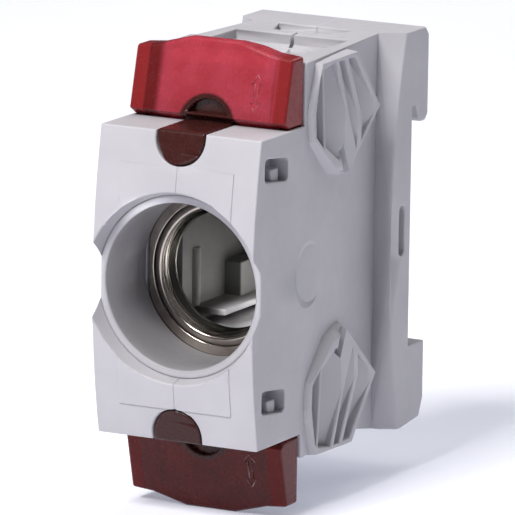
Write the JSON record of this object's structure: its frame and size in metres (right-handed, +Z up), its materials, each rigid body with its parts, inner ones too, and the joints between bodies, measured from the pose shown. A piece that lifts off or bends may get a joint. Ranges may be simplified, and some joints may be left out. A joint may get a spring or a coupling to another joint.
{
  "type": "screw-cap fuse base",
  "caption": "Single-pole screw-cap fuse base for a rail, with a threaded metal socket, sliding translucent terminal covers, clamp terminals and a sprung latch.",
  "frame": {"origin": "centre of the seat face that rests on the front of the 35 mm rail", "axes": "+Y from the user towards the rail, +Z up along the base, +X to the user's right"},
  "size_m": [0.027, 0.0524, 0.0682],
  "materials": {
    "housing": "fine matt moulded",
    "nickel": "nickel-plated sheet",
    "strap": "tinned brass strip",
    "well": "moulded thermoset",
    "spring": "spring steel",
    "zinc": "zinc-plated steel",
    "cover": "translucent moulded",
    "latch": "fine matt moulded"
  },
  "bodies": {
    "base": {"housing_left": "housing", "housing_right": "housing", "front_ring": "housing", "contact_ring": "nickel", "threaded_shell": "nickel", "shell_strap": "strap", "shell_rivets": "nickel", "fuse_well": "well", "foot_contact": "nickel", "foot_strap": "strap", "foot_rivet": "strap", "backing_spring": "spring", "latch_spring": "spring"},
    "top_cover": {"top_cover": "cover"},
    "bottom_cover": {"bottom_cover": "cover"},
    "top_screw": {"top_screw": "zinc"},
    "top_cage": {"top_cage": "zinc"},
    "bottom_screw": {"bottom_screw": "zinc"},
    "bottom_cage": {"bottom_cage": "zinc"},
    "latch": {"rail_latch": "latch"}
  },
  "joints": [
    {"name": "top_cover_slide", "type": "slide", "parent": "base", "child": "top_cover", "axis": [0, 0, 1], "range_m": [0, 0.008]},
    {"name": "bottom_cover_slide", "type": "slide", "parent": "base", "child": "bottom_cover", "axis": [0, 0, -1], "range_m": [0, 0.008]},
    {"name": "top_screw_turn", "type": "hinge", "parent": "base", "child": "top_screw", "pos_m": [0, -0.03, 0.019], "axis": [0, 1, 0], "range_deg": [0, 1890]},
    {"name": "top_cage_slide", "type": "slide", "parent": "base", "child": "top_cage", "axis": [0, -1, 0], "range_m": [0, 0.0042]},
    {"name": "bottom_screw_turn", "type": "hinge", "parent": "base", "child": "bottom_screw", "pos_m": [0, -0.03, -0.0228], "axis": [0, 1, 0], "range_deg": [0, 1890]},
    {"name": "bottom_cage_slide", "type": "slide", "parent": "base", "child": "bottom_cage", "axis": [0, -1, 0], "range_m": [0, 0.0042]},
    {"name": "latch_slide", "type": "slide", "parent": "base", "child": "latch", "axis": [0, 0, -1], "range_m": [0, 0.0026], "stiffness_N_per_m": 600, "springref_m": -0.002, "deforming": ["latch_spring"]}
  ],
  "couplings": [
    {"joint": "top_screw_turn", "follows": "top_cage_slide", "rad_per_m": 7854},
    {"joint": "bottom_screw_turn", "follows": "bottom_cage_slide", "rad_per_m": 7854}
  ]
}
